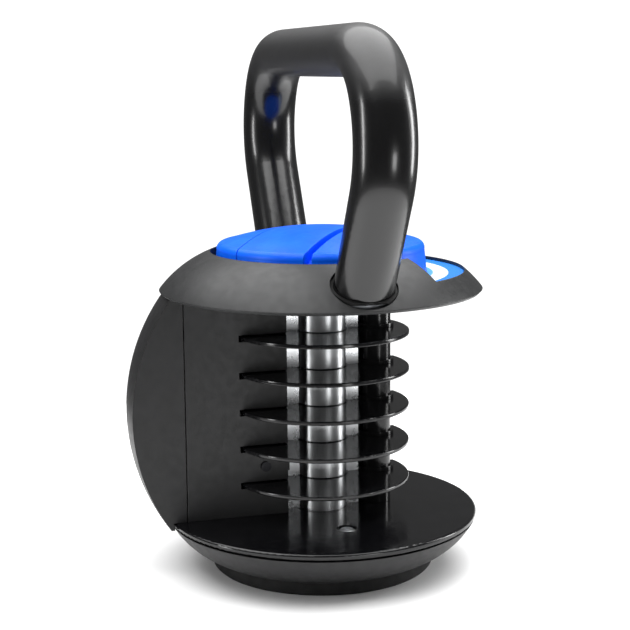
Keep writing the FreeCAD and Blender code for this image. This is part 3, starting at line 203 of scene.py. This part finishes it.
def metal(name, colours, roughness, lines=0.0, lines_mm=0.0):
    """Bare metal; lines per metre across its length are the marks of turning or drawing."""
    made, tree, shader = material(name, Metallic=1.0)
    skin(tree, shader, colours, roughness, (70.0, 180.0))
    if lines:
        place = add(tree, "ShaderNodeTexCoord")
        wave = add(tree, "ShaderNodeTexWave", {"bands_direction": "Z"}, Vector=place.outputs["Object"],
                   Scale=lines, Distortion=0.6, Detail=2.0)
        rounding = add(tree, "ShaderNodeBevel", {"samples": 6}, Radius=0.0003)
        bump = add(tree, "ShaderNodeBump", Height=wave.outputs["Fac"], Strength=1.0,
                   Distance=lines_mm / 1000, Normal=rounding.outputs["Normal"])
        tree.links.new(bump.outputs["Normal"], shader.inputs["Normal"])
    return made


# Ground steel tube, softly polished: wide bright bands with faint turning marks.
tube_chrome = metal("tube_polished_steel", ("#D2D4D6", "#DEE0E2"), (0.30, 0.38), 400.0, 0.0004)
# Zinc-plated screws: pale grey and slightly cloudy.
screw_zinc = metal("screw_zinc_plate", ("#9FA3A6", "#B4B8BB"), (0.26, 0.36))
# Black-oxide screw in the inner wall: dark and oily, hardly brighter than the wall.
screw_black = metal("screw_black_oxide", ("#1B1B1D", "#262628"), (0.34, 0.44))
# Bright steel of the button screws in the base plate: pale, with a soft gloss.
screw_bright = metal("screw_bright_steel", ("#D4D6D8", "#E4E6E8"), (0.28, 0.36))
# Bright drawn steel of the pins, ring and spring.
drawn_steel = metal("drawn_steel", ("#8E9194", "#A5A8AB"), (0.22, 0.32))
# Die-cast zinc hub: grey with a sandy skin.
hub_cast = metal("hub_die_cast_zinc", ("#85888B", "#999C9F"), (0.38, 0.50))
# Mill-finish steel of the chassis plate and the plugs in the handle.
mill_steel = metal("chassis_mill_steel", ("#5A5C5F", "#707376"), (0.34, 0.46))


def cast_iron():
    """Raw cast iron ballast: dark, rough and pitted like sand."""
    made, tree, shader = material("ballast_cast_iron", Metallic=1.0)
    tree.links.new(mottle(tree, linear("#2E2C2B"), linear("#413E3C"), 120.0, 8.0),
                   shader.inputs["Base Color"])
    tree.links.new(mottle(tree, grey(0.6), grey(0.8), 200.0), shader.inputs["Roughness"])
    grain(tree, shader, 500.0, 0.15, 6.0, 0.8)
    return made


def label_film():
    """Printed film on the tray: blank white, a blue band round the outside and at the knob's foot."""
    made, tree, shader = material("label_printed_film", IOR=1.49, Roughness=0.34)
    place = add(tree, "ShaderNodeTexCoord")
    flat = add(tree, "ShaderNodeVectorMath", {"operation": "MULTIPLY"})
    tree.links.new(place.outputs["Object"], flat.inputs[0])
    flat.inputs[1].default_value = (1.0, 1.0, 0.0)
    reach = add(tree, "ShaderNodeVectorMath", {"operation": "LENGTH"})
    tree.links.new(flat.outputs["Vector"], reach.inputs[0])
    ramp = add(tree, "ShaderNodeValToRGB")
    inner, outer_edge = 0.05, 0.08
    white_from, blue_from = 0.0597, 0.0678
    scaled = add(tree, "ShaderNodeMapRange", Value=reach.outputs["Value"],
                 From_Min=inner, From_Max=outer_edge)
    tree.links.new(scaled.outputs["Result"], ramp.inputs["Fac"])
    ramp.color_ramp.interpolation = "CONSTANT"
    bands = ramp.color_ramp.elements
    bands[0].position = 0.0
    bands[0].color = linear("#5AAEF0")
    bands[1].position = (white_from - inner) / (outer_edge - inner)
    bands[1].color = linear("#EDF1F5")
    outer = bands.new((blue_from - inner) / (outer_edge - inner))
    outer.color = linear("#1E7FE0")
    tree.links.new(ramp.outputs["Color"], shader.inputs["Base Color"])
    grain(tree, shader, 700.0, 0.003)
    return made


# Bright rolled steel of the spine: its front face shows beside the tube.
spine_steel = metal("spine_rolled_steel", ("#C4C6C8", "#D2D4D6"), (0.24, 0.32))
handle_coat = powder_coat()
knob_blue = blue_plastic()
ballast_iron = cast_iron()
label_print = label_film()

FINISHES = {
    shell_abs: ["bowl", "back_shell", "wall_panel", "wall_bracket", "back_wall", "label_tray"],
    cap_abs: ["cap"],
    plate_nylon: ["base_plate"] + ["divider_%d" % i for i in range(1, 6)],
    post_abs: ["guide_post", "post_rings"],
    spine_steel: ["spine"],
    foot_rubber: ["foot", "leg_seals"],
    bush_acetal: ["base_bush", "top_bush", "stop_ring"],
    handle_coat: ["handle"],
    knob_blue: ["knob", "knob_floor", "release_button"],
    tube_chrome: ["lock_tube"],
    screw_zinc: ["foot_screws", "hub_screws", "spine_screws", "post_screws", "shell_screws",
                 "handle_bolts", "cap_screws", "knob_screws"],
    screw_bright: ["base_screws"],
    screw_black: ["wall_screw"],
    drawn_steel: ["tube_ring", "drive_pin", "catch_pin", "button_spring"],
    hub_cast: ["drive_hub"],
    mill_steel: ["chassis_plate", "handle_plugs"],
    ballast_iron: ["base_ballast", "shell_ballast"],
    label_print: ["dial_label"],
}


def finish_of(node):
    """The finish that a node is listed under."""
    return [finish for finish, nodes in FINISHES.items() if node in nodes][0]


for name, thing in NODES.items():
    thing.data.materials.clear()
    thing.data.materials.append(finish_of(name))


# ------------------------------------------------------------------ turned pieces
def revolve(made, profile, centre, sides=48):
    """Turn a profile of (radius, height) points about an upright axis through centre."""
    rings = []
    for radius, height in profile:
        if radius < 1e-6:
            rings.append([made.verts.new((centre[0], centre[1], height))])
            continue
        steps = [2 * math.pi * i / sides for i in range(sides)]
        rings.append([made.verts.new((centre[0] + radius * math.cos(a),
                                      centre[1] + radius * math.sin(a), height)) for a in steps])
    for lower, upper in zip(rings, rings[1:]):
        for i in range(sides):
            ring = [lower[i % len(lower)], lower[(i + 1) % len(lower)],
                    upper[(i + 1) % len(upper)], upper[i % len(upper)]]
            corners = list(dict.fromkeys(ring))
            if len(corners) > 2:
                made.faces.new(corners)


def finish_mesh(name, made, finish, body, stands_for, angle=35.0):
    """Close a mesh under construction, give it its finish and hang it on its body."""
    bmesh.ops.recalc_face_normals(made, faces=made.faces)
    mesh = bpy.data.meshes.new(name)
    made.to_mesh(mesh)
    made.free()
    mesh.shade_smooth()
    mesh.set_sharp_from_angle(angle=math.radians(angle))
    thing = bpy.data.objects.new(name, mesh)
    bpy.context.scene.collection.objects.link(thing)
    mesh.materials.append(finish)
    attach(thing, body)
    for node in stands_for:
        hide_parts(node)
    return thing


# The button screws: circle that they stand on, socket, and the head as (radius, drop below its top).
SCREW_CIRCLE = 0.0445
SOCKET_RADIUS, SOCKET_DEPTH, SHANK_RADIUS = 0.0016, 0.0013, 0.0025
SCREW_HEAD = [(SOCKET_RADIUS, 0.0001), (0.0024, 0.0), (0.0032, 0.0003), (0.0039, 0.0008),
              (0.0043, 0.0014), (0.0043, 0.0018), (SHANK_RADIUS, 0.0018)]


def make_base_screws():
    """Three button-head screws with hexagon sockets, sunk in the base plate."""
    low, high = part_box("base_screws")
    top = high.z
    made = bmesh.new()
    for turn in range(3):
        angle = 2 * math.pi * turn / 3
        centre = (SCREW_CIRCLE * math.cos(angle), SCREW_CIRCLE * math.sin(angle))
        socket = [(0.0, top - SOCKET_DEPTH), (SOCKET_RADIUS, top - SOCKET_DEPTH),
                  (SOCKET_RADIUS, top - SCREW_HEAD[0][1])]
        revolve(made, socket, centre, 6)
        dome = [(radius, top - drop) for radius, drop in SCREW_HEAD]
        revolve(made, dome + [(SHANK_RADIUS, low.z), (0.0, low.z)], centre)
    finish_mesh("base_screw_set", made, screw_bright, "frame", ["base_screws"], 50.0)


def make_spring():
    """The button's return spring: round wire wound in a helix, with its two ends capped."""
    low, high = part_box("button_spring")
    wire = 0.00048  # radius of the wire
    clear = 0.00002  # between the end turns and what they sit on
    centre = (low + high) / 2
    coil = (high.x - low.x) / 2 - wire
    turns, sides, steps = 4.0, 8, 32
    bottom, top = low.z + wire + clear, high.z - wire - clear
    made = bmesh.new()
    rings = []
    count = int(turns * steps)
    for i in range(count + 1):
        angle = 2 * math.pi * i / steps
        height = bottom + (top - bottom) * i / count
        out = Vector((math.cos(angle), math.sin(angle), 0))
        middle = Vector((centre.x, centre.y, height)) + out * coil
        around = [2 * math.pi * j / sides for j in range(sides)]
        rings.append([made.verts.new(middle + out * wire * math.cos(b)
                                     + Vector((0, 0, wire * math.sin(b)))) for b in around])
    for lower, upper in zip(rings, rings[1:]):
        for j in range(sides):
            k = (j + 1) % sides
            made.faces.new((lower[j], lower[k], upper[k], upper[j]))
    made.faces.new(rings[0])
    made.faces.new(rings[-1])
    spring = finish_mesh("button_return_spring", made, drawn_steel, "knob", ["button_spring"], 60.0)
    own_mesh(spring)


make_base_screws()
make_spring()


# ------------------------------------------------------------------ floor and light
def make_floor():
    """A round white table top that the kettlebell stands on."""
    mesh = bpy.data.meshes.new("studio_floor")
    made = bmesh.new()
    bmesh.ops.create_circle(made, cap_ends=True, segments=128, radius=0.4)
    made.to_mesh(mesh)
    made.free()
    floor = bpy.data.objects.new("studio_floor", mesh)
    bpy.context.scene.collection.objects.link(floor)
    paper, tree, shader = material("floor_white_paper", IOR=1.3, Roughness=0.6)
    tree.links.new(mottle(tree, linear("#F8F8F8"), linear("#FBFBFB"), 3.0), shader.inputs["Base Color"])
    floor.data.materials.append(paper)


def make_light(name, place, aim, width, height, watts):
    """A white rectangular softbox at place, turned to face aim."""
    data = bpy.data.lights.new(name, "AREA")
    data.shape = "RECTANGLE"
    data.size = width
    data.size_y = height
    data.energy = watts
    lamp = bpy.data.objects.new(name, data)
    lamp.location = place
    lamp.rotation_euler = (Vector(aim) - Vector(place)).to_track_quat("-Z", "Y").to_euler()
    bpy.context.scene.collection.objects.link(lamp)


def make_room(seen, given):
    """A room whose walls look plain white but give only a little light."""
    world = bpy.data.worlds.new("studio_room")
    world.use_nodes = True
    tree = world.node_tree
    path = add(tree, "ShaderNodeLightPath")
    level = add(tree, "ShaderNodeMapRange", Value=path.outputs["Is Camera Ray"])
    level.inputs["To Min"].default_value = given
    level.inputs["To Max"].default_value = seen
    background = tree.nodes["Background"]
    background.inputs["Color"].default_value = linear("#FFFFFF")
    tree.links.new(level.outputs["Result"], background.inputs["Strength"])
    bpy.context.scene.world = world


make_floor()
make_room(1.2, 0.14)
make_light("overhead", (-0.2, 0.0, 1.6), (-0.05, 0, 0), 2.6, 2.6, 95)
make_light("right_softbox", (0.10, 1.10, 0.35), (0.01, 0, 0.14), 0.22, 0.9, 9)
make_light("left_softbox", (0.14, -1.19, 0.30), (0.01, 0, 0.12), 0.16, 0.8, 6)
make_light("low_front_card", (0.86, 0.27, 0.03), (0, 0, 0.11), 0.16, 0.2, 0.9)
